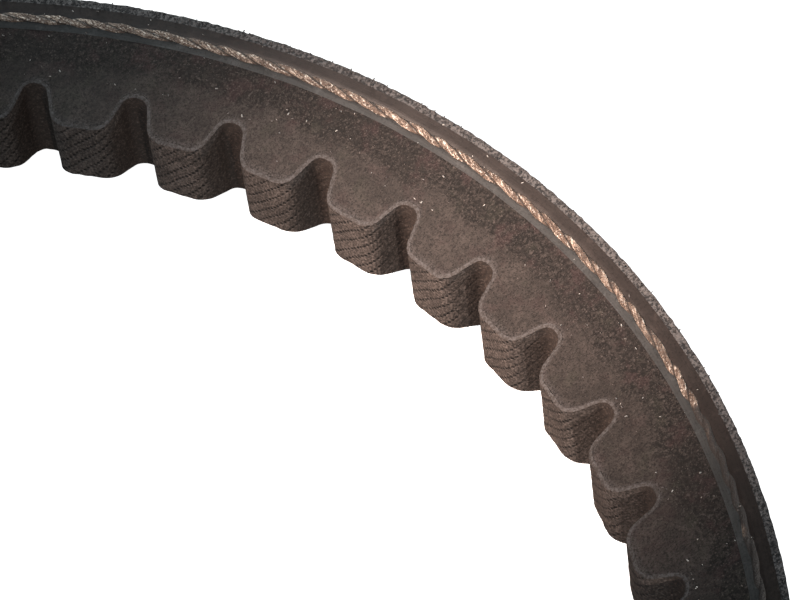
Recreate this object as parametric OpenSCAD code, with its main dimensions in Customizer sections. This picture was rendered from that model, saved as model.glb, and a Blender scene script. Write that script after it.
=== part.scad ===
// Raw-edge cogged V-belt, an endless ring lying on its side.
// The belt's axis is +Z and the origin is at the centre of the ring, halfway across its width.

/* [Belt] */
// Outside diameter of the belt when it lies in a circle
outside_d = 176; // [170:1:220]
// Width across the back
top_w = 17; // [16:0.5:20]
// Height from the back to the tips of the cogs
belt_h = 12.8; // [12:0.2:14]
// Angle between the two flanks, in degrees
flank_angle = 40; // [34:1:42]

/* [Cogs] */
// Number of cogs round the belt
cog_count = 46; // [44:1:48]
// Depth of the notches between the cogs
notch_depth = 4; // [3:0.1:4.5]
// Radius of the round root of a notch
root_round = 1.2; // [0.9:0.1:1.5]
// Flat at the middle of a notch's root
root_flat = 0.3; // [0.1:0.1:0.6]
// Radius of the rounded corners of a cog
corner_round = 2; // [1.4:0.1:2.2]
// Slope of a notch's side from the radial direction, in degrees
side_slope = 18; // [12:1:22]

/* [Layers] */
// Thickness of the fabric on the back
back_t = 0.7; // [0.5:0.05:1]
// Diameter of the tensile cord
cord_d = 1; // [0.8:0.05:1.1]
// Depth of the cord's centre line below the back
cord_depth = 2.25; // [2:0.05:2.5]
// Distance between neighbouring turns of the cord
cord_pitch = 1.15; // [1.15:0.01:1.25]
// Number of turns of the cord across the belt
cord_turns = 14; // [10:1:14]
// Depth of the adhesion rubber's lower face below the back
adhesion_depth = 3.4; // [3.1:0.1:3.8]
// Thickness of the fabric over the cogs
cog_fabric_t = 0.35; // [0.3:0.05:0.5]

/* [Hidden] */
$fn = 180;
outside_r = outside_d / 2;
tip_r = outside_r - belt_h;
root_r = tip_r + notch_depth;
cord_r = outside_r - cord_depth;
adhesion_r = outside_r - adhesion_depth;
cog_pitch = 2 * PI * tip_r / cog_count;
// Number of straight steps in a quarter turn of a rounded corner
corner_steps = 4;
// How far a cutting shape runs past what it cuts
spare = 1;

// Half of the belt's width at a radius
function half_width(r) = top_w / 2 - (outside_r - r) * tan(flank_angle / 2);

// A point of the cog outline: s runs along the tip circle and r is the radius
function wrap(s, r) = [r * cos(s / tip_r * 180 / PI), r * sin(s / tip_r * 180 / PI)];

// One notch, from the middle of its root to the middle of a cog, grown by t into the rubber
function notch_half(t) = let (
    root_c = [root_flat / 2, root_r - root_round],
    foot = root_c + root_round * [cos(side_slope), sin(side_slope)],
    side_run = (foot[1] - tip_r) * tan(side_slope),
    corner_reach = corner_round * tan((90 - side_slope) / 2),
    corner_c = [foot[0] + side_run + corner_reach, tip_r + corner_round]
) concat(
    [for (i = [0 : corner_steps])
        let (a = 90 - (90 - side_slope) * i / corner_steps)
        root_c + (root_round + t) * [cos(a), sin(a)]],
    [for (i = [0 : corner_steps])
        let (a = 180 + side_slope + (90 - side_slope) * i / corner_steps)
        corner_c + (corner_round - t) * [cos(a), sin(a)]]
);

// The whole inner outline of the belt: each notch is the mirror of its half, then its half
function cog_outline(t) = let (
    half = notch_half(t),
    last = len(half) - 1
) [for (k = [0 : cog_count - 1], side = [-1, 1], i = [0 : last])
    let (p = half[side < 0 ? last - i : i])
    wrap(k * cog_pitch + side * p[0], p[1])];

// The belt's V section between two radii, as the half plane that turns about the axis
module v_section(inner_r, outer_r) {
    polygon([
        [inner_r, -half_width(inner_r)],
        [outer_r, -half_width(outer_r)],
        [outer_r, half_width(outer_r)],
        [inner_r, half_width(inner_r)]
    ]);
}

module v_ring(inner_r, outer_r) {
    rotate_extrude()
        v_section(inner_r, outer_r);
}

// The cut ends of all the cord's turns in the section
module cord_section() {
    for (i = [0 : cord_turns - 1])
        translate([cord_r, (i - (cord_turns - 1) / 2) * cord_pitch])
            circle(d = cord_d, $fn = 32);
}

// The space inside the belt, with the cogs cut out of it, grown by t
module cog_space(t) {
    translate([0, 0, -top_w])
        linear_extrude(2 * top_w)
            polygon(cog_outline(t));
}

module back_fabric() {
    color([0.20, 0.20, 0.21])
        v_ring(outside_r - back_t, outside_r);
}

module overcord_rubber() {
    color([0.16, 0.15, 0.15])
        rotate_extrude()
            difference() {
                v_section(cord_r, outside_r - back_t);
                cord_section();
            }
}

// Each turn of the cord is a closed ring, and the flanks cut the outermost ones
module tensile_cord() {
    color([0.72, 0.56, 0.44])
        rotate_extrude()
            intersection() {
                cord_section();
                v_section(cord_r - cord_d, cord_r + cord_d);
            }
}

module adhesion_rubber() {
    color([0.25, 0.26, 0.26])
        rotate_extrude()
            difference() {
                v_section(adhesion_r, cord_r);
                cord_section();
            }
}

module compression_rubber() {
    color([0.21, 0.19, 0.18])
        difference() {
            v_ring(tip_r - spare, adhesion_r);
            cog_space(cog_fabric_t);
        }
}

module cog_fabric() {
    color([0.24, 0.22, 0.21])
        intersection() {
            v_ring(tip_r - spare, root_r + cog_fabric_t + spare);
            difference() {
                cog_space(cog_fabric_t);
                cog_space(0);
            }
        }
}

back_fabric();
overcord_rubber();
tensile_cord();
adhesion_rubber();
compression_rubber();
cog_fabric();
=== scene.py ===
"""Builds the finished look of a raw-edge cogged V-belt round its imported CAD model."""

import math

import bmesh
import bpy
import numpy as np
from mathutils import Matrix, Vector


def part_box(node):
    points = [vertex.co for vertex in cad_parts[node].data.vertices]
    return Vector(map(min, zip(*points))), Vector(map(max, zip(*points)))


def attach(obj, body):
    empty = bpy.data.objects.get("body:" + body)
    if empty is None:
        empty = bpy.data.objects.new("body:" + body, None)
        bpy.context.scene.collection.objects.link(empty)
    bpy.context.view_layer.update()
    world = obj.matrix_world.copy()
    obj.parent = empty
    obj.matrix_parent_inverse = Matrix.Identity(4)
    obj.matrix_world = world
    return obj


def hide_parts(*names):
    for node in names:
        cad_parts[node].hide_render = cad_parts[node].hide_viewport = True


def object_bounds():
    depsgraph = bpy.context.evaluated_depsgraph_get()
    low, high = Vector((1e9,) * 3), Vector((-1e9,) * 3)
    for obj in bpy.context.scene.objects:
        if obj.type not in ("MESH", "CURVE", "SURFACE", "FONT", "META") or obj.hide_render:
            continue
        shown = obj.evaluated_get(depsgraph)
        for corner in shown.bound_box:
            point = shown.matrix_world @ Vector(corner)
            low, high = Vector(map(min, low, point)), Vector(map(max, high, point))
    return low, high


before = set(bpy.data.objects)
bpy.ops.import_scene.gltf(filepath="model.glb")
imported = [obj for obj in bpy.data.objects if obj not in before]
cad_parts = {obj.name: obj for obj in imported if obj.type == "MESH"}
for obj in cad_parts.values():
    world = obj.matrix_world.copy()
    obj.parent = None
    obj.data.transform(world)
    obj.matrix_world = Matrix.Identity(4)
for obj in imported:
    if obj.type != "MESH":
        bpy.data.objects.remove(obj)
cad_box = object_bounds()

bl_info = {
    "name": "Cogged V-belt",
    "version": (1, 0, 0),
    "blender": (4, 5, 0),
    "location": "View3D > Sidebar > Belt",
    "description": "Cloth, rubber and cord of a raw-edge cogged V-belt, with its stage",
    "category": "Add Mesh",
}

MM = 0.001
BODY = "root"
# A yarn of the 3/1 twill passes over three threads and under one
TWILL_REPEAT = 4


# ---------------------------------------------------------------- sizes taken from the frame

def inner_radius(node):
    """Smallest distance of a CAD node from the belt's axis."""
    return min(math.hypot(v.co.x, v.co.y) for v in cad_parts[node].data.vertices)


OUTSIDE_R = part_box("back_fabric")[1].x
HALF_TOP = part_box("back_fabric")[1].z
BACK_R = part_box("overcord_rubber")[1].x
CORD_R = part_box("adhesion_rubber")[1].x
ADHESION_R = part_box("compression_rubber")[1].x
FLANK_SLOPE = (HALF_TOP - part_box("overcord_rubber")[1].z) / (OUTSIDE_R - BACK_R)
TIP_R = inner_radius("cog_fabric")
CLOTH_T = inner_radius("compression_rubber") - TIP_R
ROOT_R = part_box("cog_fabric")[1].x - CLOTH_T


def half_width(r):
    """Half of the belt's width at a radius."""
    return HALF_TOP - (OUTSIDE_R - r) * FLANK_SLOPE


# ---------------------------------------------------------------- settings a user would change

def length_setting(name, description, millimetres):
    return bpy.props.FloatProperty(
        name=name, description=description, default=millimetres * MM, unit="LENGTH")


def angle_setting(name, description, degrees):
    return bpy.props.FloatProperty(
        name=name, description=description, default=math.radians(degrees), subtype="ANGLE")


def count_setting(name, description, default, least=0):
    return bpy.props.IntProperty(
        name=name, description=description, default=default, min=least)


def colour_setting(name, description, default):
    return bpy.props.FloatVectorProperty(
        name=name, description=description, default=default, subtype="COLOR", size=3)


class BeltSizes(bpy.types.PropertyGroup):
    """Sizes of the belt that the frame's boxes don't give."""

    cog_count: count_setting("Cogs", "Number of cogs round the belt", 46, 12)
    root_round: length_setting("Root radius", "Radius of a notch's round root", 1.2)
    root_flat: length_setting("Root flat", "Flat at the middle of a notch's root", 0.3)
    corner_round: length_setting("Corner radius", "Radius of a cog's rounded corners", 2.0)
    side_slope: angle_setting(
        "Side slope", "Slope of a notch's side from the radial direction", 18)
    cord_d: length_setting("Cord diameter", "Diameter of the tensile cord", 1.0)
    cord_pitch: length_setting("Cord pitch", "Distance between turns of the cord", 1.15)
    cord_lay: length_setting(
        "Cord lay", "Length in which a strand turns once round the cord", 7.4)
    cord_phase: angle_setting(
        "Cord phase", "Where round the ring the cord leaves the upper flank", 82)
    yarn_pitch: length_setting(
        "Yarn pitch", "Distance between neighbouring yarns along the belt", 0.40)
    thread_pitch: length_setting(
        "Thread pitch", "Distance between the threads that the yarns cross", 0.35)
    fray_count: count_setting(
        "Frayed ends", "Yarn ends along each cut edge of the back cloth", 1500)
    grit_count: count_setting("Grit", "Specks of dust and fibre on each flank", 650)


class BeltColours(bpy.types.PropertyGroup):
    """Colours of the belt's finishes."""

    back_cloth: colour_setting("Back cloth", "Yarn of the cloth on the back", (0.045, 0.045, 0.048))
    frayed_yarn: colour_setting(
        "Frayed yarn", "Lighter cut ends of the back cloth", (0.135, 0.128, 0.128))
    overcord: colour_setting(
        "Overcord rubber", "Rubber between back cloth and cord", (0.021, 0.0155, 0.0138))
    adhesion: colour_setting("Adhesion rubber", "Bluish rubber under the cord", (0.045, 0.046, 0.046))
    body: colour_setting(
        "Body rubber", "Ground fibre-filled rubber of the flank", (0.046, 0.038, 0.0345))
    body_fibre: colour_setting(
        "Fibre ends", "Lighter fibre ends in the ground rubber", (0.105, 0.088, 0.080))
    cog_cloth: colour_setting("Cog cloth", "Rubber-soaked twill over the cogs", (0.098, 0.081, 0.073))
    worn_edge: colour_setting(
        "Worn edge", "Paler rubbed rubber along the cloth's edge", (0.078, 0.072, 0.072))
    cord_light: colour_setting("Cord light", "Bright cut filaments of the cord", (0.58, 0.45, 0.36))
    cord_dark: colour_setting("Cord dark", "Dipped, shaded filaments of the cord", (0.15, 0.10, 0.075))
    cord_crease: colour_setting("Cord crease", "Shade where two strands meet", (0.036, 0.026, 0.021))
    # paler cut ends of the filaments, partly painted highlight
    cord_highlight_and_cut_ends: colour_setting(
        "Cord highlight", "Freshly cut ends of the filaments", (0.98, 0.92, 0.83))
    grit_dark: colour_setting("Grit, dark", "Darkest specks of dust", (0.16, 0.14, 0.13))
    grit_light: colour_setting("Grit, light", "Palest specks of lint", (0.62, 0.60, 0.57))


def belt_settings(context):
    return context.scene.belt_sizes, context.scene.belt_colours


# ---------------------------------------------------------------- shader maths

def operator(operation, reflected=False):
    """A method that adds a Math node for an operation on a value and another operand."""
    def method(self, other):
        operands = [other, self] if reflected else [self, other]
        return self.shader.node("ShaderNodeMath", {"operation": operation}, operands)
    return method


class Value:
    """A socket with Python operators: an expression on values adds its Math nodes."""

    def __init__(self, shader, socket):
        self.shader = shader
        self.socket = socket

    __add__, __radd__ = operator("ADD"), operator("ADD", reflected=True)
    __sub__, __rsub__ = operator("SUBTRACT"), operator("SUBTRACT", reflected=True)
    __mul__, __rmul__ = operator("MULTIPLY"), operator("MULTIPLY", reflected=True)
    __truediv__, __rtruediv__ = operator("DIVIDE"), operator("DIVIDE", reflected=True)


class Shader:
    """A material under construction."""

    def __init__(self, name):
        self.material = bpy.data.materials.new(name)
        self.material.use_nodes = True
        self.tree = self.material.node_tree
        self.surface = self.tree.nodes["Principled BSDF"]

    def node(self, kind, settings=None, inputs=None, output=0):
        """Adds a node: its settings first, then the values or links of its sockets."""
        made = self.tree.nodes.new(kind)
        for key, setting in (settings or {}).items():
            setattr(made, key, setting)
        pairs = inputs.items() if isinstance(inputs, dict) else enumerate(inputs or [])
        for key, operand in pairs:
            self.feed(made.inputs[key], operand)
        return Value(self, made.outputs[output])

    def feed(self, socket, operand):
        """Links a value to a socket, or sets a plain number or colour on it."""
        if isinstance(operand, Value):
            self.tree.links.new(operand.socket, socket)
        elif socket.type == "RGBA":
            socket.default_value = (*tuple(operand)[:3], 1.0)
        else:
            socket.default_value = operand

    def set(self, **inputs):
        """Feeds the surface shader's sockets, underscores standing for spaces; returns the
        finished material."""
        for key, operand in inputs.items():
            self.feed(self.surface.inputs[key.replace("_", " ")], operand)
        return self.material

    def place(self):
        return self.node("ShaderNodeTexCoord", output="Object")

    def uv(self):
        return self.node("ShaderNodeUVMap", {"uv_map": "belt"})

    def attribute(self, name):
        return self.node("ShaderNodeAttribute", {"attribute_name": name}, output="Fac")

    def split(self, vector):
        made = self.node("ShaderNodeSeparateXYZ", None, [vector])
        outputs = made.socket.node.outputs
        return [Value(self, outputs[k]) for k in range(3)]

    def join(self, x, y, z):
        return self.node("ShaderNodeCombineXYZ", None, [x, y, z])

    def radius(self, place):
        """Distance from the belt's axis."""
        x, y, _ = self.split(place)
        return self.node("ShaderNodeVectorMath", {"operation": "LENGTH"},
                         [self.join(x, y, 0.0)], "Value")

    def noise(self, vector, scale, detail, roughness):
        """Noise whose scale is in cells per metre."""
        return self.node("ShaderNodeTexNoise", None, {
            "Vector": vector, "Scale": scale, "Detail": detail, "Roughness": roughness})

    def ramp(self, factor, low, high):
        """0 below low, 1 above high, smooth between."""
        return self.node("ShaderNodeMapRange", {"interpolation_type": "SMOOTHSTEP"},
                         {"Value": factor, "From Min": low, "From Max": high})

    def mix(self, factor, first, second):
        made = self.tree.nodes.new("ShaderNodeMix")
        made.data_type = "RGBA"
        self.feed(made.inputs[0], factor)
        self.feed(made.inputs[6], first)
        self.feed(made.inputs[7], second)
        return Value(self, made.outputs[2])

    def whole(self, value):
        return self.node("ShaderNodeMath", {"operation": "FLOOR"}, [value])

    def fraction(self, value):
        return self.node("ShaderNodeMath", {"operation": "FRACT"}, [value])

    def twill(self, across, along):
        """Height of a 3/1 twill: across counts the yarns and along counts the threads that
        each yarn passes over. A yarn dips under every fourth thread, one step on each time."""
        yarn = self.whole(across)
        off_middle = (across - yarn - 0.5) * 2.0
        place = self.fraction((yarn + along) / TWILL_REPEAT) * 2.0 - 1.0
        crown = 1.0 - off_middle * off_middle
        dip = self.ramp(place * place, 0.42, 0.85) * self.ramp(crown, 0.30, 0.85)
        return 0.62 + crown * 0.38 - dip

    def bump(self, height, distance, strength):
        return self.node("ShaderNodeBump", None, {
            "Strength": strength, "Distance": distance, "Height": height})


# ---------------------------------------------------------------- mesh helpers

def lattice_noise(points, size, seed):
    """Smooth noise from -1 to 1 at each point; size is the distance between its lattice points."""
    p = points / size + 1000.0 + 17.0 * seed
    cell = np.floor(p).astype(np.int64)
    f = p - cell
    f = f * f * (3 - 2 * f)
    total = np.zeros(len(points))
    for corner in range(8):
        step = np.array([corner & 1, corner >> 1 & 1, corner >> 2 & 1])
        at = cell + step
        mixed = (at[:, 0] * 73856093) ^ (at[:, 1] * 19349663) ^ (at[:, 2] * 83492791)
        mixed = (mixed ^ (mixed >> 13)) * 1274126177 & 0x7FFFFFFF
        weight = np.prod(np.where(step == 1, f, 1 - f), axis=1)
        total += weight * ((mixed % 65536) / 32767.5 - 1)
    return total


def coordinates(mesh):
    flat = np.empty(len(mesh.vertices) * 3)
    mesh.vertices.foreach_get("co", flat)
    return flat.reshape(-1, 3)


def set_coordinates(mesh, co):
    mesh.vertices.foreach_set("co", co.ravel())
    mesh.update()


def columns(values, number):
    """The values down each of a number of equal columns."""
    return np.repeat(values[:, None], number, axis=1)


def push_out(co, amount):
    """Moves points away from the belt's middle plane."""
    co[:, 2] += np.sign(co[:, 2]) * amount


def polar(r, angle, z):
    return np.stack([r * np.cos(angle), r * np.sin(angle), z], axis=-1)


def grid_object(name, points, uv, attributes):
    """A mesh object from a grid of points [station, row] whose rows close into a loop, so
    that uv has one row more."""
    n, m = points.shape[:2]
    i, j = np.meshgrid(np.arange(n - 1), np.arange(m), indexing="ij")
    i, j = i.ravel(), j.ravel()
    j2 = (j + 1) % m
    quads = np.stack([i * m + j, (i + 1) * m + j, (i + 1) * m + j2, i * m + j2], axis=1)
    mesh = bpy.data.meshes.new(name)
    mesh.from_pydata(points.reshape(-1, 3).tolist(), [], quads.tolist())
    layer = mesh.uv_layers.new(name="belt")
    corner_uv = np.stack([uv[i, j], uv[i + 1, j], uv[i + 1, j + 1], uv[i, j + 1]], axis=1)
    layer.data.foreach_set("uv", corner_uv.astype(np.float32).ravel())
    for key, values in attributes.items():
        made = mesh.attributes.new(key, "FLOAT", "POINT")
        made.data.foreach_set("value", values.astype(np.float32).ravel())
    mesh.shade_smooth()
    made = bpy.data.objects.new(name, mesh)
    bpy.context.scene.collection.objects.link(made)
    return made


def close_ends(mesh, sides):
    """Closes the two ends of a tube whose rings hold the given number of points."""
    work = bmesh.new()
    work.from_mesh(mesh)
    work.verts.ensure_lookup_table()
    work.faces.new(work.verts[:sides])
    work.faces.new(work.verts[-sides:])
    work.to_mesh(mesh)
    work.free()


def settle(piece):
    """Turns the Geometry Nodes result into the piece's plain mesh, faces outwards."""
    depsgraph = bpy.context.evaluated_depsgraph_get()
    result = bpy.data.meshes.new_from_object(
        piece.evaluated_get(depsgraph), preserve_all_data_layers=True, depsgraph=depsgraph)
    piece.modifiers.clear()
    old = piece.data
    piece.data = result
    bpy.data.meshes.remove(old)
    work = bmesh.new()
    work.from_mesh(result)
    bmesh.ops.recalc_face_normals(work, faces=work.faces)
    work.to_mesh(result)
    work.free()
    result.name = piece.name
    return result


def finish_piece(piece, material, nodes=()):
    """Gives a piece its material, hangs it on the body that it rides on and hides the CAD nodes that
    it stands for.
    """
    piece.data.set_sharp_from_angle(angle=math.radians(50))
    if material.name not in [m.name for m in piece.data.materials if m]:
        piece.data.materials.clear()
        piece.data.materials.append(material)
    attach(piece, BODY)
    for node in nodes:
        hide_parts(node)


# ---------------------------------------------------------------- geometry nodes

def new_tree(name, inputs):
    """An empty Geometry Nodes tree with named inputs; returns it, its ends and its sockets."""
    tree = bpy.data.node_groups.new(name, "GeometryNodeTree")
    tree.interface.new_socket("Geometry", in_out="INPUT", socket_type="NodeSocketGeometry")
    tree.interface.new_socket("Geometry", in_out="OUTPUT", socket_type="NodeSocketGeometry")
    made = {}
    for key, kind in inputs.items():
        socket = tree.interface.new_socket(key, in_out="INPUT", socket_type=kind)
        made[key] = socket.identifier
    start = tree.nodes.new("NodeGroupInput")
    end = tree.nodes.new("NodeGroupOutput")
    return tree, start, end, made


def tree_node(tree, kind, settings=None, inputs=None):
    """Adds a node to a Geometry Nodes tree; inputs are sockets to link or plain values."""
    made = tree.nodes.new(kind)
    for key, setting in (settings or {}).items():
        setattr(made, key, setting)
    for key, operand in (inputs or {}).items():
        if isinstance(operand, bpy.types.NodeSocket):
            tree.links.new(operand, made.inputs[key])
        else:
            made.inputs[key].default_value = operand
    return made


def tree_math(tree, operation, first, second):
    return tree_node(tree, "ShaderNodeMath", {"operation": operation}, {0: first, 1: second})


def round_tree():
    """Repeats one pitch of the belt round the ring and joins the repeats."""
    tree, start, end, sockets = new_tree("belt_round", {
        "Count": "NodeSocketInt", "Material": "NodeSocketMaterial"})
    points = tree_node(tree, "GeometryNodePoints", None, {"Count": start.outputs["Count"]})
    index = tree_node(tree, "GeometryNodeInputIndex")
    step = tree_math(tree, "DIVIDE", 2 * math.pi, start.outputs["Count"])
    turn = tree_math(tree, "MULTIPLY", index.outputs[0], step.outputs[0])
    euler = tree_node(tree, "ShaderNodeCombineXYZ", None, {"Z": turn.outputs[0]})
    repeats = tree_node(tree, "GeometryNodeInstanceOnPoints", None, {
        "Points": points.outputs[0], "Instance": start.outputs["Geometry"],
        "Rotation": euler.outputs[0]})
    solid = tree_node(tree, "GeometryNodeRealizeInstances", None,
                      {"Geometry": repeats.outputs[0]})
    joined = tree_node(tree, "GeometryNodeMergeByDistance", None,
                       {"Geometry": solid.outputs[0], "Distance": 0.002 * MM})
    painted = tree_node(tree, "GeometryNodeSetMaterial", None, {
        "Geometry": joined.outputs[0], "Material": start.outputs["Material"]})
    tree.links.new(painted.outputs[0], end.inputs[0])
    return tree, sockets


def repeat_round(piece, count, material):
    """One pitch becomes the whole ring."""
    tree, sockets = round_tree()
    modifier = piece.modifiers.new("belt_round", "NODES")
    modifier.node_group = tree
    modifier[sockets["Count"]] = count
    modifier[sockets["Material"]] = material
    return settle(piece)


# ---------------------------------------------------------------- the belt's outline

def notch_half(sizes, t):
    """Half a notch as (s, r), from the middle of its root to the middle of a cog, grown by t
    into the rubber. s runs along the tip circle."""
    slope = sizes.side_slope
    foot_s = sizes.root_flat / 2 + sizes.root_round * math.cos(slope)
    foot_r = ROOT_R - sizes.root_round + sizes.root_round * math.sin(slope)
    side_run = (foot_r - TIP_R) * math.tan(slope)
    reach = sizes.corner_round * math.tan((math.pi / 2 - slope) / 2)
    corner_s = foot_s + side_run + reach
    corner_r = TIP_R + sizes.corner_round
    cog_middle = math.pi * TIP_R / sizes.cog_count
    root_angles = np.linspace(math.pi / 2, slope, 9)
    root_s = sizes.root_flat / 2 + (sizes.root_round + t) * np.cos(root_angles)
    root_r = ROOT_R - sizes.root_round + (sizes.root_round + t) * np.sin(root_angles)
    corner_angles = np.linspace(math.pi + slope, 1.5 * math.pi, 9)
    bend_s = corner_s + (sizes.corner_round - t) * np.cos(corner_angles)
    bend_r = corner_r + (sizes.corner_round - t) * np.sin(corner_angles)
    side = np.linspace(0, 1, 9)[1:-1]
    side_s = root_s[-1] + (bend_s[0] - root_s[-1]) * side
    side_r = root_r[-1] + (bend_r[0] - root_r[-1]) * side
    flat = np.linspace(0, 1, 7)[1:]
    flat_s = bend_s[-1] + (cog_middle - bend_s[-1]) * flat
    s = np.concatenate([[0], root_s, side_s, bend_s, flat_s])
    r = np.concatenate([[ROOT_R + t], root_r, side_r, bend_r, np.full(len(flat), TIP_R + t)])
    return s, r


def pitch_outline(sizes, t):
    """One whole pitch as (angle, radius), from the middle of a cog to the middle of the next."""
    s, r = notch_half(sizes, t)
    s = np.concatenate([-s[::-1], s[1:]])
    r = np.concatenate([r[::-1], r[1:]])
    return s / TIP_R, r


def distance_along(x, y):
    """Distance along a line of points from its first point."""
    return np.concatenate([[0], np.cumsum(np.hypot(np.diff(x), np.diff(y)))])


def fitted_yarn(length, sizes):
    """Yarn pitch that puts whole twill repeats into a pitch of the belt."""
    repeats = max(1, round(length / (TWILL_REPEAT * sizes.yarn_pitch)))
    return length / (TWILL_REPEAT * repeats)


# ---------------------------------------------------------------- where the cord meets a flank

def cord_offsets(angle, sizes, side):
    """How far the cord's centre line stands out of a flank, for the turns nearest to it.
    side is +1 for the upper flank and -1 for the lower."""
    start = side * sizes.cord_phase
    nearest = (side * (angle - start) / (2 * math.pi) + 0.5) % 1.0 - 0.5
    return [sizes.cord_pitch * (nearest + k) for k in (-1, 0, 1)]


def cord_trough(points, sizes):
    """Depth of the shallow groove that the rubber leaves beside the cut cord."""
    angle = np.arctan2(points[:, 1], points[:, 0])
    r = np.hypot(points[:, 0], points[:, 1])
    depth = np.zeros(len(points))
    radius = sizes.cord_d / 2
    for side in (1, -1):
        on_side = points[:, 2] * side > 0
        for offset in cord_offsets(angle, sizes, side):
            open_half = np.sqrt(np.clip(radius ** 2 - offset ** 2, 0, None))
            reach = np.clip(1.25 - np.abs(r - CORD_R) / (open_half + 0.06 * MM), 0, 1)
            shown = np.clip(open_half / (0.3 * MM), 0, 1)
            depth = np.maximum(depth, on_side * shown * reach * reach * (3 - 2 * reach))
    return depth


def flank_relief(points):
    """Gentle waves of the whole cut flank, the same for every layer."""
    relief = lattice_noise(points, 3.5 * MM, 8) * 0.05 * MM
    return relief + lattice_noise(points, 1.1 * MM, 9) * 0.02 * MM


def at_flank(points, margin):
    """1 on the cut flanks and 0 farther than the margin inside them."""
    r = np.hypot(points[:, 0], points[:, 1])
    inside = half_width(r) - np.abs(points[:, 2])
    return np.clip(1 - inside / margin, 0, 1)


# ---------------------------------------------------------------- finishes

def tint(colour, factor):
    """A colour made darker or lighter."""
    return [c * factor for c in colour]


def back_cloth_finish(colours, sizes, yarn):
    """Rubbered cloth: dark woven face, darker in the weave's dips and lighter on its crowns as painted
    shade, lighter knotted yarn where it is cut.
    """
    s = Shader("back_cloth")
    place, uv = s.place(), s.uv()
    u, v, _ = s.split(uv)
    wander = s.noise(place, 300, 2, 0.5) - 0.5
    weave = s.twill(u / yarn + wander, v / sizes.thread_pitch + wander)
    grains = s.noise(place, 3300, 3, 0.65)
    clumps = s.noise(place, 1100, 3, 0.6)
    cut = s.attribute("cut")
    base = colours.back_cloth
    # painted shade: the face is darker where the weave dips and lighter on its crowns
    face = s.mix(weave, tint(base, 0.35), tint(base, 1.3))
    knots = s.noise(place, 3300, 2, 0.6)
    yarn_ends = s.mix(s.ramp(knots, 0.38, 0.62), tint(base, 0.3), colours.frayed_yarn)
    yarn_ends = s.mix(s.ramp(clumps, 0.50, 0.36) * 0.35, yarn_ends, tint(base, 0.6))
    height = weave * (1 - cut) * 0.8 + grains * 0.3 + knots * cut * 1.4
    return s.set(Base_Color=s.mix(cut, face, yarn_ends), Roughness=0.55 + grains * 0.3,
                 Normal=s.bump(height, 0.12 * MM, 0.9))


def frayed_finish(colours):
    """Loose yarn ends at the back cloth's cut edges."""
    s = Shader("frayed_yarn")
    tone = s.noise(s.place(), 1500, 2, 0.5)
    dark = tint(colours.frayed_yarn, 0.32)
    return s.set(Base_Color=s.mix(s.ramp(tone, 0.38, 0.64), dark, colours.frayed_yarn),
                 Roughness=0.7)


def cut_rubber_finish(name, colour, gloss):
    """Smooth rubber cut with a knife: faint marks along the belt."""
    s = Shader(name)
    place = s.place()
    x, y, _ = s.split(place)
    drawn = s.join(x * 0.04, y * 0.04, s.radius(place))
    marks = s.noise(drawn, 9000, 3, 0.6)
    cloud = s.noise(place, 260, 4, 0.6)
    grit = s.noise(place, 4200, 2, 0.5)
    shade = s.ramp(cloud, 0.3, 0.7) * 0.5 + s.ramp(marks, 0.3, 0.7) * 0.5
    base = s.mix(shade, tint(colour, 0.75), tint(colour, 1.35))
    powder = s.noise(place, 620, 4, 0.7)
    base = s.mix(s.ramp(powder, 0.54, 0.68) * 0.55, base, tint(colour, 2.2))
    base = s.mix(s.ramp(grit, 0.46, 0.34) * 0.6, base, tint(colour, 0.4))
    return s.set(Base_Color=base, Roughness=gloss + grit * 0.18,
                 Normal=s.bump(marks * 0.7 + grit * 0.6 + cloud, 0.03 * MM, 0.7))


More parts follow.
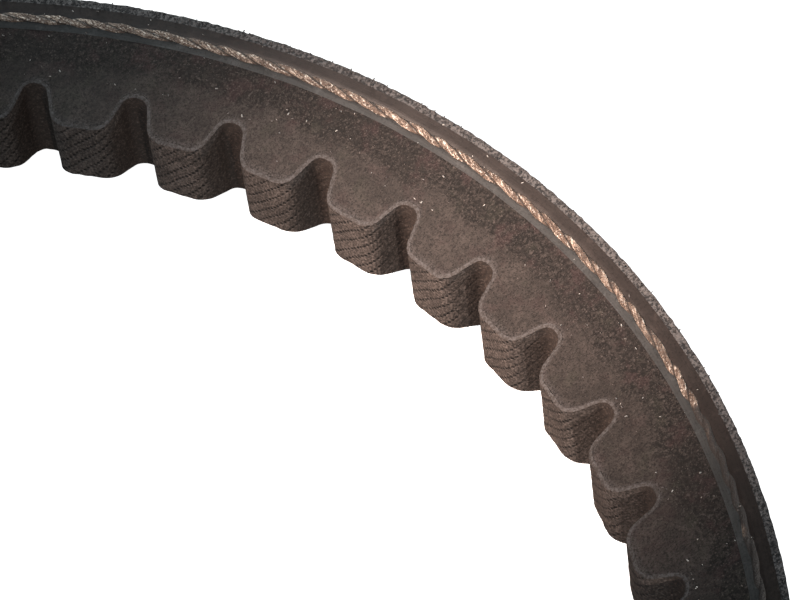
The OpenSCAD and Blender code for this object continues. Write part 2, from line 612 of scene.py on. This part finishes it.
def body_rubber_finish(colours):
    """Ground rubber full of short fibres: speckled near the cord, smoother near the cogs."""
    s = Shader("body_rubber")
    place = s.place()
    x, y, _ = s.split(place)
    r = s.radius(place)
    cloud = s.noise(place, 170, 5, 0.65)
    ragged = 7.5 * MM
    zone = s.ramp(r + (cloud - 0.5) * ragged, ROOT_R + 1.4 * MM, ROOT_R + 2.8 * MM)
    marks = s.noise(s.join(x * 0.03, y * 0.03, r), 5200, 3, 0.65)
    specks = s.noise(place, 2700, 3, 0.75)
    pits = s.noise(place, 1500, 2, 0.6)
    ends = s.noise(place, 2100, 1, 0.5)
    smear = s.noise(place, 480, 4, 0.7)
    wear = s.noise(place, 95, 5, 0.7)
    patch = s.noise(place, 330, 3, 0.6)
    grit = s.noise(place, 5600, 2, 0.6)
    body = colours.body
    smooth = s.mix(s.ramp(smear, 0.36, 0.66), tint(body, 0.85), tint(body, 1.3))
    smooth = s.mix(s.ramp(specks, 0.52, 0.36) * 0.75, smooth, tint(body, 0.32))
    smooth = s.mix(s.ramp(specks, 0.56, 0.70) * 0.3, smooth, tint(body, 2.2))
    rough = s.mix(s.ramp(specks, 0.42, 0.62), tint(body, 0.20), tint(body, 0.98))
    rough = s.mix(s.ramp(pits, 0.56, 0.68) * 0.5, rough, tint(body, 0.26))
    colour = s.mix(zone, smooth, rough)
    colour = s.mix(s.ramp(wear, 0.52, 0.40) * 0.45, colour, tint(body, 0.4))
    red = (body[0] * 1.25, body[1] * 0.85, body[2] * 0.95)
    green = (body[0], body[1] * 1.2, body[2])
    colour = s.mix(s.ramp(patch, 0.52, 0.66) * (0.20 + zone * 0.20), colour, red)
    colour = s.mix(s.ramp(patch, 0.44, 0.32) * 0.25, colour, green)
    colour = s.mix(s.ramp(ends, 0.64, 0.74) * (0.15 + zone * 0.3), colour, colours.body_fibre)
    colour = s.mix(s.ramp(marks, 0.55, 0.75) * 0.2, colour, tint(body, 1.8))
    colour = s.mix(s.ramp(grit, 0.46, 0.34) * 0.8, colour, tint(body, 0.2))
    colour = s.mix(s.ramp(grit, 0.60, 0.72) * (0.3 + zone * 0.3), colour, tint(body, 3.0))
    worn = s.mix(s.ramp(grit, 0.42, 0.6), tint(colours.worn_edge, 0.35),
                 tint(colours.worn_edge, 1.60))
    colour = s.mix(s.attribute("rim") * 0.36, colour, worn)
    height = specks * (0.5 + zone * 0.7) + grit * 0.6 + smear * 0.5 - pits * zone * 0.4
    return s.set(Base_Color=colour, Roughness=0.48 + specks * 0.24 + zone * 0.10,
                 Specular_IOR_Level=0.27, Normal=s.bump(height, 0.07 * MM, 0.9))


def cog_cloth_finish(colours, sizes, yarn):
    """Rubber-soaked twill: floats side by side in slanting rows, with dark gaps at their ends, partly
    rubber and partly painted shade, and painted shade on the notch walls and roots.
    """
    s = Shader("cog_cloth")
    place, uv = s.place(), s.uv()
    u, v, _ = s.split(uv)
    wander = s.noise(place, 420, 2, 0.5) - 0.5
    sway = s.noise(place, 330, 1, 0.5) - 0.5
    weave = s.twill(u / yarn + wander * 0.8, v / sizes.thread_pitch + sway * 1.1)
    fuzz = s.noise(place, 4200, 2, 0.65)
    patch = s.noise(place, 260, 4, 0.6)
    clog = s.noise(place, 900, 3, 0.6)
    cloth = colours.cog_cloth
    colour = s.mix(s.ramp(patch, 0.35, 0.7), tint(cloth, 0.8), tint(cloth, 1.25))
    r = s.radius(place)
    # sides and root mask the notch walls and the notch roots for painted shade
    sides = s.ramp(r, TIP_R + 0.5 * MM, TIP_R + 1.4 * MM)
    root = s.ramp(r, ROOT_R - 2.1 * MM, ROOT_R - 0.2 * MM)
    # painted shade: the notch walls a little darker, the notch roots much darker
    colour = s.mix(sides * 0.5, colour, (cloth[0] * 0.92, cloth[1] * 0.87, cloth[2] * 0.83))
    colour = s.mix(root * 0.75, colour, (cloth[0] * 0.40, cloth[1] * 0.32, cloth[2] * 0.28))
    colour = s.mix(s.ramp(fuzz, 0.54, 0.40) * 0.75, colour, tint(cloth, 0.3))
    # light specks, fewer in the painted shade of the roots
    colour = s.mix(s.ramp(fuzz, 0.56, 0.68) * (0.55 - root * 0.25), colour, tint(cloth, 2.4))
    # dark float ends where the yarn dips: partly rubber in the dips, partly painted shade; less of it
    # on the notch walls
    gaps = s.ramp(weave, 0.80, 0.12) * (0.6 + s.ramp(clog, 0.62, 0.4) * 0.4)
    gaps = gaps * (1 - sides * 0.75)
    colour = s.mix(gaps, colour, tint(cloth, 0.09))
    cut = s.attribute("cut")
    edge = s.mix(s.ramp(fuzz, 0.38, 0.64), tint(cloth, 0.4), tint(colours.worn_edge, 1.2))
    colour = s.mix(cut, colour, edge)
    height = weave * (1 - cut) * (1 - sides * 0.75) + fuzz * 0.5
    return s.set(Base_Color=colour, Roughness=0.62 + fuzz * 0.2,
                 Normal=s.bump(height, 0.10 * MM, 0.95))


def cord_finish(colours):
    """Twisted polyester filaments, dipped, and bright where the flank cuts them, with painted
    highlights on the filaments and painted shade in the creases.
    """
    s = Shader("tensile_cord")
    place, uv = s.place(), s.uv()
    u, v, _ = s.split(uv)
    streaks = s.noise(s.join(u * 0.22, v, 0.0), 5200, 3, 0.7)
    flecks = s.noise(place, 4800, 2, 0.6)
    tone = s.noise(s.join(u, v, 0.0), 520, 3, 0.6)
    cut, bury = s.attribute("cut"), s.attribute("bury")
    colour = s.mix(s.ramp(streaks, 0.40, 0.60), colours.cord_dark, colours.cord_light)
    colour = s.mix(s.ramp(tone, 0.40, 0.56) * 0.9, colour, colours.cord_dark)
    # painted highlights: near-white flecks along the filaments, partly the paler cut ends
    bright = s.ramp(streaks * 0.6 + flecks * 0.4, 0.545, 0.625)
    colour = s.mix(bright * 0.9, colour, colours.cord_highlight_and_cut_ends)
    colour = s.mix(s.ramp(flecks, 0.47, 0.38) * 0.85, colour, tint(colours.cord_dark, 0.3))
    # painted shade in the creases between strands and where a strand sinks under the flank
    colour = s.mix(s.ramp(cut, 0.78, 0.10), colour, colours.cord_crease)
    patchy = s.ramp(s.noise(place, 110, 2, 0.5), 0.40, 0.56)
    smeared = s.ramp(tone * 0.5 + flecks * 0.5 + bury * (0.25 + patchy), 0.62, 0.95)
    colour = s.mix(smeared, colour, colours.body)
    return s.set(Base_Color=colour, Roughness=0.5 + streaks * 0.2,
                 Normal=s.bump(streaks + flecks, 0.16 * MM, 1.0))


def grit_finish(colours):
    """Pale dust and lint."""
    s = Shader("grit")
    tone = s.noise(s.place(), 900, 1, 0.5)
    return s.set(Base_Color=s.mix(s.ramp(tone, 0.4, 0.6), colours.grit_dark, colours.grit_light),
                 Roughness=0.7)


# ---------------------------------------------------------------- operators

class BELT_OT_back_cloth(bpy.types.Operator):
    """Make the cloth on the belt's back, with its rough cut edges"""

    bl_idname = "belt.back_cloth"
    bl_label = "Back cloth"

    def execute(self, context):
        sizes, colours = belt_settings(context)
        stations = 48
        step = 2 * math.pi / sizes.cog_count
        angle = np.linspace(-step / 2, step / 2, stations + 1)
        face_z = np.linspace(-1, 1, 27)
        edge_r = np.linspace(OUTSIDE_R, BACK_R, 7)[1:]
        face = [(OUTSIDE_R, z * half_width(OUTSIDE_R), 0.0) for z in face_z]
        top = [(r, half_width(r), 1.0) for r in edge_r]
        inner = [(BACK_R, z * half_width(BACK_R), 0.0) for z in np.linspace(1, -1, 6)[1:-1]]
        bottom = [(r, -half_width(r), 1.0) for r in edge_r[::-1]]
        loop = np.array(face + top + inner + bottom)
        points = polar(loop[None, :, 0], angle[:, None], loop[None, :, 1] + 0 * angle[:, None])
        cut = np.tile(loop[:, 2], (len(angle), 1))
        closed = np.vstack([loop, loop[:1]])
        run = distance_along(closed[:, 0], closed[:, 1])
        along = np.linspace(0, OUTSIDE_R * step, len(angle))
        uv = np.stack(np.broadcast_arrays(along[:, None], run[None, :]), axis=-1)
        piece = grid_object("back_fabric", points, uv, {"cut": cut})
        yarn = fitted_yarn(OUTSIDE_R * step, sizes)
        material = back_cloth_finish(colours, sizes, yarn)
        mesh = repeat_round(piece, sizes.cog_count, material)
        co = coordinates(mesh)
        r = np.hypot(co[:, 0], co[:, 1])
        edge = at_flank(co, 0.5 * MM)
        rough = lattice_noise(co, 0.45 * MM, 1) + 0.6 * lattice_noise(co, 0.22 * MM, 2)
        push_out(co, edge * rough * 0.08 * MM)
        outer = np.clip((r - BACK_R) / (OUTSIDE_R - BACK_R), 0, 1)
        swell = edge * (0.5 + 0.5 * lattice_noise(co, 0.55 * MM, 3)) * 0.14 * MM
        swell += (1 - edge) * lattice_noise(co, 0.9 * MM, 4) * 0.02 * MM
        grow = 1 + outer * swell / r
        co[:, :2] *= grow[:, None]
        set_coordinates(mesh, co)
        finish_piece(piece, material, ["back_fabric"])
        return {"FINISHED"}


def fray_tree():
    """Scatters short bent yarn ends over the points of a mesh."""
    tree, start, end, sockets = new_tree("frayed_edge", {
        "Length": "NodeSocketFloat", "Material": "NodeSocketMaterial",
        "Seed": "NodeSocketInt"})
    source = start.outputs
    turn = tree_node(tree, "FunctionNodeRandomValue", {"data_type": "FLOAT_VECTOR"}, {
        "Min": (-0.9, -0.9, -math.pi), "Max": (0.9, 0.9, math.pi), "Seed": source["Seed"]})
    size = tree_node(tree, "FunctionNodeRandomValue", {"data_type": "FLOAT"}, {
        2: 0.45, 3: 1.25, "Seed": source["Seed"]})
    scale = tree_math(tree, "MULTIPLY", size.outputs[1], source["Length"])
    line = tree_node(tree, "GeometryNodeMeshLine", {"mode": "OFFSET"}, {
        "Count": 4, "Offset": (0.06, 0.02, 0.27)})
    curve = tree_node(tree, "GeometryNodeMeshToCurve", None, {"Mesh": line.outputs[0]})
    parameter = tree_node(tree, "GeometryNodeSplineParameter")
    bend = tree_math(tree, "POWER", parameter.outputs["Factor"], 2.0)
    lean = tree_node(tree, "ShaderNodeCombineXYZ", None, {"X": bend.outputs[0]})
    shift = tree_node(tree, "ShaderNodeVectorMath", {"operation": "SCALE"},
                      {0: lean.outputs[0], "Scale": 0.5})
    bent = tree_node(tree, "GeometryNodeSetPosition", None,
                     {"Geometry": curve.outputs[0], "Offset": shift.outputs[0]})
    profile = tree_node(tree, "GeometryNodeCurvePrimitiveCircle", None,
                        {"Resolution": 4, "Radius": 0.23})
    tube = tree_node(tree, "GeometryNodeCurveToMesh", None, {
        "Curve": bent.outputs[0], "Profile Curve": profile.outputs[0], "Fill Caps": True})
    ends = tree_node(tree, "GeometryNodeInstanceOnPoints", None, {
        "Points": source["Geometry"], "Instance": tube.outputs[0],
        "Rotation": turn.outputs[0], "Scale": scale.outputs[0]})
    solid = tree_node(tree, "GeometryNodeRealizeInstances", None,
                      {"Geometry": ends.outputs[0]})
    painted = tree_node(tree, "GeometryNodeSetMaterial", None, {
        "Geometry": solid.outputs[0], "Material": source["Material"]})
    tree.links.new(painted.outputs[0], end.inputs[0])
    return tree, sockets


def scatter(name, spots, length, seed, material):
    """A piece of short bent ends at the given spots."""
    mesh = bpy.data.meshes.new(name)
    mesh.from_pydata(spots.tolist(), [], [])
    piece = bpy.data.objects.new(name, mesh)
    bpy.context.scene.collection.objects.link(piece)
    tree, sockets = fray_tree()
    modifier = piece.modifiers.new(name, "NODES")
    modifier.node_group = tree
    modifier[sockets["Length"]] = length
    modifier[sockets["Material"]] = material
    modifier[sockets["Seed"]] = seed
    settle(piece)
    finish_piece(piece, material)


class BELT_OT_frayed_edges(bpy.types.Operator):
    """Stand short yarn ends along both cut edges of the back cloth"""

    bl_idname = "belt.frayed_edges"
    bl_label = "Frayed edges"

    def execute(self, context):
        sizes, colours = belt_settings(context)
        rng = np.random.default_rng(7)
        count = 2 * sizes.fray_count
        angle = rng.uniform(0, 2 * math.pi, count)
        r = rng.uniform(BACK_R + 0.15 * MM, OUTSIDE_R + 0.04 * MM, count)
        side = np.where(np.arange(count) % 2 == 0, 1.0, -1.0)
        z = side * (half_width(r) - rng.uniform(0.02, 0.10, count) * MM)
        scatter("frayed_edges", polar(r, angle, z), 0.27 * MM, 11,
                frayed_finish(colours))
        return {"FINISHED"}


class BELT_OT_grit(bpy.types.Operator):
    """Sprinkle dust and fibre ends over the cut flanks"""

    bl_idname = "belt.grit"
    bl_label = "Grit"

    def execute(self, context):
        sizes, colours = belt_settings(context)
        rng = np.random.default_rng(23)
        count = 2 * sizes.grit_count
        angle = rng.uniform(0, 2 * math.pi, count)
        r = rng.uniform(TIP_R + 1.5 * MM, BACK_R, count)
        notch = 2 * math.pi / sizes.cog_count
        open_share = 0.66
        in_notch = np.abs((angle / notch + 0.5) % 1.0 - 0.5) < open_share / 2
        r = np.where(in_notch, np.maximum(r, ROOT_R + 0.8 * MM), r)
        side = np.where(np.arange(count) % 2 == 0, 1.0, -1.0)
        scatter("grit", polar(r, angle, side * half_width(r)), 0.2 * MM, 31,
                grit_finish(colours))
        return {"FINISHED"}


def layer_ring(name, sizes, radii, material):
    """A rubber layer: its two flanks follow the radii from the inside outwards."""
    stations = 40
    step = 2 * math.pi / sizes.cog_count
    angle = np.linspace(-step / 2, step / 2, stations + 1)
    radii = np.array(radii)
    top = [(r, half_width(r)) for r in radii]
    outer = [(radii[-1], z * half_width(radii[-1])) for z in (0.5, 0.0, -0.5)]
    bottom = [(r, -half_width(r)) for r in radii[::-1]]
    inner = [(radii[0], z * half_width(radii[0])) for z in (-0.5, 0.0, 0.5)]
    loop = np.array(top + outer + bottom + inner)
    points = polar(loop[None, :, 0], angle[:, None], loop[None, :, 1] + 0 * angle[:, None])
    uv = np.zeros((len(angle), len(loop) + 1, 2))
    piece = grid_object(name, points, uv, {})
    mesh = repeat_round(piece, sizes.cog_count, material)
    co = coordinates(mesh)
    edge = at_flank(co, 0.05 * MM)
    relief = flank_relief(co) - cord_trough(co, sizes) * 0.10 * MM
    push_out(co, edge * relief)
    set_coordinates(mesh, co)
    finish_piece(piece, material, [name])


class BELT_OT_rubber_layers(bpy.types.Operator):
    """Make the overcord rubber and the adhesion rubber on either side of the cord"""

    bl_idname = "belt.rubber_layers"
    bl_label = "Rubber layers"

    def execute(self, context):
        sizes, colours = belt_settings(context)
        near = np.array([0.0, 0.12, 0.24, 0.36, 0.48, 0.6]) * MM
        over = list(CORD_R + near) + list(np.linspace(CORD_R + 0.75 * MM, BACK_R, 6))
        under = list(np.linspace(ADHESION_R, CORD_R - 0.7 * MM, 4)) + list(CORD_R - near[::-1])
        layer_ring("overcord_rubber", sizes, over,
                   cut_rubber_finish("overcord_rubber", colours.overcord, 0.42))
        layer_ring("adhesion_rubber", sizes, under,
                   cut_rubber_finish("adhesion_rubber", colours.adhesion, 0.46))
        return {"FINISHED"}


class BELT_OT_cord(bpy.types.Operator):
    """Wind the twisted tensile cord through the belt and cut it flush with the flanks"""

    bl_idname = "belt.cord"
    bl_label = "Tensile cord"

    def strand(self, sizes, side, turns, number):
        """One of two strands of the outermost turn on a flank. Returns its points, its uv,
        how far it is cut open (kept low in the creases, for painted shade) and how deep it is buried."""
        station, sides = 0.4 * MM, 14
        strand_r, lay_r = 0.36 * sizes.cord_d, 0.17 * sizes.cord_d
        proud, give = 0.15 * MM, 0.05 * MM
        cut_blend, sink = 0.20 * MM, 0.36 * MM
        girth, uv_gap = 2.1 * MM, 5 * MM
        span = 2 * math.pi * CORD_R * (turns[1] - turns[0])
        t = np.linspace(turns[0], turns[1], int(span / station))
        angle = side * (sizes.cord_phase + 2 * math.pi * t)
        centre_z = half_width(CORD_R) + sizes.cord_pitch * t
        run = t * 2 * math.pi * CORD_R
        uneven = 0.34 * (np.sin(run / (2.1 * MM)) + np.sin(run / (3.7 * MM) + 1.0))
        twist = 2 * math.pi * (number / 2 - run / sizes.cord_lay) + uneven
        swell = 1 + 0.07 * np.sin(run / (0.37 * MM) + 2 * number)
        around = np.linspace(0, 2 * math.pi, sides, endpoint=False)
        facing = twist[:, None] + around[None, :]
        r = CORD_R + lay_r * np.cos(twist)[:, None] + strand_r * swell[:, None] * np.cos(facing)
        z = (centre_z + lay_r * np.sin(twist))[:, None]
        z = z + strand_r * swell[:, None] * np.sin(facing)
        cut = np.clip((z - half_width(r)) / cut_blend + 0.5, 0, 1)
        # lower on the side that faces the other strand, so that the crease gets painted shade
        cut = cut * np.clip((np.cos(around)[None, :] + 0.46) / 0.6, 0, 1)
        ceiling = half_width(r) + proud
        z = ceiling - give * np.logaddexp(0.0, (ceiling - z) / give)
        bury = np.clip((-centre_z + half_width(CORD_R)) / sink, 0, 1)[:, None] ** 4
        uv_u = columns(run, sides + 1)
        uv_v = np.repeat(np.linspace(0, girth, sides + 1)[None, :], len(t), axis=0)
        uv = np.stack([uv_u, uv_v + number * uv_gap], axis=-1)
        return polar(r, angle[:, None], side * z), uv, cut, bury + 0 * z

    def execute(self, context):
        sizes, colours = belt_settings(context)
        material = cord_finish(colours)
        reach = 0.45 * MM / sizes.cord_pitch
        depth = -0.60 * MM / sizes.cord_pitch
        tubes = [self.strand(sizes, side, (depth, reach), number)
                 for side in (1, -1) for number in range(2)]
        inner_turns = half_width(CORD_R) / sizes.cord_pitch + depth
        steps, sides = 120, 8
        t = np.linspace(-inner_turns, inner_turns, int(inner_turns * 2 * steps))
        angle = 2 * math.pi * (t - inner_turns + depth) + sizes.cord_phase
        around = np.linspace(0, 2 * math.pi, sides, endpoint=False)
        radius = 0.49 * sizes.cord_d
        r = CORD_R + radius * np.cos(around)[None, :] + 0 * t[:, None]
        z = sizes.cord_pitch * t[:, None] + radius * np.sin(around)[None, :]
        core = polar(r, angle[:, None], z)
        plain = np.zeros(core.shape[:2])
        tubes.append((core, np.zeros((len(t), sides + 1, 2)), plain, plain))
        work = bmesh.new()
        for k, (points, uv, cut, bury) in enumerate(tubes):
            tube = grid_object(f"cord_{k}", points, uv, {"cut": cut, "bury": bury})
            part = tube.data
            close_ends(part, points.shape[1])
            work.from_mesh(part)
            bpy.data.objects.remove(tube)
            bpy.data.meshes.remove(part)
        bmesh.ops.recalc_face_normals(work, faces=work.faces)
        mesh = bpy.data.meshes.new("tensile_cord")
        work.to_mesh(mesh)
        work.free()
        mesh.shade_smooth()
        piece = bpy.data.objects.new("tensile_cord", mesh)
        context.scene.collection.objects.link(piece)
        finish_piece(piece, material, ["tensile_cord"])
        return {"FINISHED"}


class BELT_OT_cog_body(bpy.types.Operator):
    """Make the fibre-filled rubber body with its cogs"""

    bl_idname = "belt.cog_body"
    bl_label = "Cogged body"

    def execute(self, context):
        sizes, colours = belt_settings(context)
        angle, r = pitch_outline(sizes, CLOTH_T)
        step = 2 * math.pi / sizes.cog_count
        even = np.linspace(-step / 2, step / 2, len(angle))
        rows = np.linspace(0, 1, 14)
        row_r = r[:, None] + (ADHESION_R - r)[:, None] * rows
        row_a = angle[:, None] + (even - angle)[:, None] * rows
        flank_z = half_width(row_r)
        rim_width = 0.45 * MM
        rim = np.clip(1 - (row_r - r[:, None]) / rim_width, 0, 1)
        across = np.linspace(1, -1, 5)[1:-1]
        outer = np.full((len(angle), 3), ADHESION_R)
        loop_r = np.hstack([row_r, outer, row_r[:, ::-1], columns(r, 3)])
        loop_a = np.hstack([row_a, columns(even, 3), row_a[:, ::-1], columns(angle, 3)])
        loop_z = np.hstack([flank_z, half_width(ADHESION_R) * across[None, :] + 0 * outer,
                            -flank_z[:, ::-1], -half_width(r)[:, None] * across[None, :]])
        rims = np.hstack([rim, 0 * outer, rim[:, ::-1], 0 * outer])
        points = polar(loop_r, loop_a, loop_z)
        uv = np.zeros((points.shape[0], points.shape[1] + 1, 2))
        piece = grid_object("compression_rubber", points, uv, {"rim": rims})
        material = body_rubber_finish(colours)
        mesh = repeat_round(piece, sizes.cog_count, material)
        co = coordinates(mesh)
        edge = at_flank(co, 0.05 * MM)
        inner = np.clip((ADHESION_R - np.hypot(co[:, 0], co[:, 1])) / (1.0 * MM), 0, 1)
        relief = flank_relief(co) + inner * lattice_noise(co, 0.55 * MM, 10) * 0.018 * MM
        push_out(co, edge * relief)
        set_coordinates(mesh, co)
        finish_piece(piece, material, ["compression_rubber"])
        return {"FINISHED"}


class BELT_OT_cog_cloth(bpy.types.Operator):
    """Mould the twill cloth over the cogs and notches"""

    bl_idname = "belt.cog_cloth"
    bl_label = "Cog cloth"

    def execute(self, context):
        sizes, colours = belt_settings(context)
        angle, r = pitch_outline(sizes, 0.0)
        angle_t, r_t = pitch_outline(sizes, CLOTH_T)
        run = distance_along(r * np.cos(angle), r * np.sin(angle))
        rows = np.linspace(-1, 1, 19)
        soft = 0.06 * MM
        face_z = (half_width(r) - soft)[:, None] * rows
        count = len(rows)
        lip = [(0.0, -0.07), (0.3, -0.015), (0.65, 0.0), (1.0, 0.0)]
        lip_r = np.stack([r + (r_t - r) * f for f, _ in lip], axis=1)
        lip_a = np.stack([angle + (angle_t - angle) * f for f, _ in lip], axis=1)
        lip_z = half_width(lip_r) + np.array([h for _, h in lip]) * MM
        back = np.linspace(1, -1, 5)[1:-1]
        loop_r = np.hstack([columns(r, count), lip_r, columns(r_t, 3), lip_r[:, ::-1]])
        loop_a = np.hstack([columns(angle, count), lip_a, columns(angle_t, 3), lip_a[:, ::-1]])
        loop_z = np.hstack([face_z, lip_z, half_width(r_t)[:, None] * back[None, :],
                            -lip_z[:, ::-1]])
        cut = np.hstack([np.zeros((len(r), count)), np.ones((len(r), 4)),
                         np.zeros((len(r), 3)), np.ones((len(r), 4))])
        points = polar(loop_r, loop_a, loop_z)
        closing = np.hstack([loop_z, loop_z[:, :1]])
        uv = np.stack([columns(run, closing.shape[1]), closing], axis=-1)
        piece = grid_object("cog_fabric", points, uv, {"cut": cut})
        material = cog_cloth_finish(colours, sizes, fitted_yarn(run[-1], sizes))
        mesh = repeat_round(piece, sizes.cog_count, material)
        co = coordinates(mesh)
        edge = at_flank(co, 0.4 * MM)
        radial = np.hypot(co[:, 0], co[:, 1])
        wobble = lattice_noise(co, 0.55 * MM, 12) * 0.045 * MM
        wobble += lattice_noise(co, 2.5 * MM, 13) * 0.06 * MM
        grow = 1 + wobble / radial
        co[:, :2] *= grow[:, None]
        push_out(co, edge * flank_relief(co))
        set_coordinates(mesh, co)
        finish_piece(piece, material, ["cog_fabric"])
        return {"FINISHED"}


def swing(first, second, angle):
    """Turns two upright directions towards each other's place by an angle."""
    cosine, sine = math.cos(angle), math.sin(angle)
    return first * cosine + second * sine, second * cosine - first * sine


def place_camera(scene):
    """The camera goes round the ring, climbs and looks at its middle, then turns away."""
    distance = 4.892 * OUTSIDE_R
    heading = Matrix.Rotation(math.radians(-4.41), 3, "Z")
    elevation = math.radians(55.55)
    yaw, pitch, roll = math.radians(8.38), math.radians(3.19), math.radians(-19.39)
    eye = heading @ Vector((0, -math.cos(elevation), math.sin(elevation))) * distance
    ahead = -eye.normalized()
    right = ahead.cross(Vector((0, 0, 1))).normalized()
    up = right.cross(ahead)
    ahead, right = swing(ahead, right, yaw)
    ahead, up = swing(ahead, up, pitch)
    right, up = swing(right, up, roll)
    data = bpy.data.cameras.new("camera")
    data.sensor_width = 36.0
    data.lens = 207.3
    data.clip_start, data.clip_end = 0.01, 20.0
    camera = bpy.data.objects.new("camera", data)
    turned = Matrix((right, up, -ahead)).transposed().to_4x4()
    camera.matrix_world = Matrix.Translation(eye) @ turned
    scene.collection.objects.link(camera)
    scene.camera = camera
    scene.view_settings.view_transform = "Standard"


def light_world(scene):
    """A faint white light from all sides."""
    world = bpy.data.worlds.new("studio")
    world.use_nodes = True
    background = world.node_tree.nodes["Background"]
    background.inputs["Color"].default_value = (1.0, 1.0, 1.0, 1.0)
    background.inputs["Strength"].default_value = 0.05
    scene.world = world


def on_ring(angle):
    """A spot on the ring for a light to aim at."""
    radius, rise = 0.08, 0.05
    return radius * Vector((math.cos(angle), math.sin(angle), rise))


def spot_light(name, target, heading, cone, power, colour):
    """A spot that fades from the middle of its cone to the edge; heading is the azimuth
    and the elevation that its light comes from."""
    distance = 0.8
    azimuth, elevation = math.radians(heading[0]), math.radians(heading[1])
    away = Vector((math.cos(elevation) * math.cos(azimuth),
                   math.cos(elevation) * math.sin(azimuth), math.sin(elevation)))
    data = bpy.data.lights.new(name, "SPOT")
    data.shadow_soft_size = 0.012
    data.spot_size = math.radians(cone)
    data.spot_blend = 1.0
    data.energy = power
    data.color = colour
    light = bpy.data.objects.new(name, data)
    light.location = target + distance * away
    light.rotation_mode = "QUATERNION"
    light.rotation_quaternion = (-away).to_track_quat("-Z", "Y")
    bpy.context.scene.collection.objects.link(light)


def lay_floor(scene):
    """A bright white floor that doesn't light the belt."""
    mesh = bpy.data.meshes.new("floor")
    level = cad_box[0].z - 0.1 * MM
    reach = 3.0
    mesh.from_pydata([(-reach, -reach, level), (reach, -reach, level),
                      (reach, reach, level), (-reach, reach, level)], [], [(0, 1, 2, 3)])
    floor = bpy.data.objects.new("floor", mesh)
    mesh.materials.append(Shader("floor").set(
        Base_Color=(0.86, 0.86, 0.86), Roughness=0.7,
        Emission_Color=(1.0, 1.0, 1.0), Emission_Strength=1.0))
    scene.collection.objects.link(floor)
    floor.visible_diffuse = False
    floor.visible_glossy = False


class BELT_OT_stage(bpy.types.Operator):
    """Set the camera, the lights and the floor"""

    bl_idname = "belt.stage"
    bl_label = "Stage"

    def execute(self, context):
        place_camera(context.scene)
        light_world(context.scene)
        middle, left, low, right = (on_ring(a) for a in (math.radians(15.5), 1.0, 0.16, -0.12))
        spot_light("warm_key", middle, (192, 48), 5.9, 60.0, (1.0, 0.75, 0.62))
        spot_light("wall_fill", low, (262, 16), 8.0, 8.0, (1.0, 0.88, 0.80))
        spot_light("rim_left", left, (70, 28), 12.0, 14.0, (0.92, 1.0, 1.0))
        spot_light("rim_right", right, (-25, 28), 9.0, 14.0, (0.92, 0.98, 1.0))
        spot_light("cool_side", left, (150, 50), 7.0, 4.0, (0.85, 0.95, 1.0))
        spot_light("cool_fill", middle, (215, 45), 13.0, 7.5, (0.78, 0.92, 1.0))
        lay_floor(context.scene)
        return {"FINISHED"}


# ---------------------------------------------------------------- panel and registration

STEPS = (BELT_OT_back_cloth, BELT_OT_frayed_edges, BELT_OT_rubber_layers, BELT_OT_cord,
         BELT_OT_cog_body, BELT_OT_cog_cloth, BELT_OT_grit, BELT_OT_stage)


class BELT_PT_panel(bpy.types.Panel):
    """Lists the belt's settings and the steps that make it"""

    bl_idname = "BELT_PT_panel"
    bl_label = "Cogged V-belt"
    bl_space_type = "VIEW_3D"
    bl_region_type = "UI"
    bl_category = "Belt"

    def draw(self, context):
        for step in STEPS:
            self.layout.operator(step.bl_idname)
        for group in belt_settings(context):
            box = self.layout.box()
            for key in group.__annotations__:
                box.prop(group, key)


CLASSES = (BeltSizes, BeltColours, *STEPS, BELT_PT_panel)


def register():
    for each in CLASSES:
        bpy.utils.register_class(each)
    bpy.types.Scene.belt_sizes = bpy.props.PointerProperty(type=BeltSizes)
    bpy.types.Scene.belt_colours = bpy.props.PointerProperty(type=BeltColours)


def unregister():
    del bpy.types.Scene.belt_colours
    del bpy.types.Scene.belt_sizes
    for each in reversed(CLASSES):
        bpy.utils.unregister_class(each)


def main():
    register()
    bpy.ops.belt.back_cloth()
    bpy.ops.belt.frayed_edges()
    bpy.ops.belt.rubber_layers()
    bpy.ops.belt.cord()
    bpy.ops.belt.cog_body()
    bpy.ops.belt.cog_cloth()
    bpy.ops.belt.grit()
    bpy.ops.belt.stage()


if __name__ == "__main__":
    main()
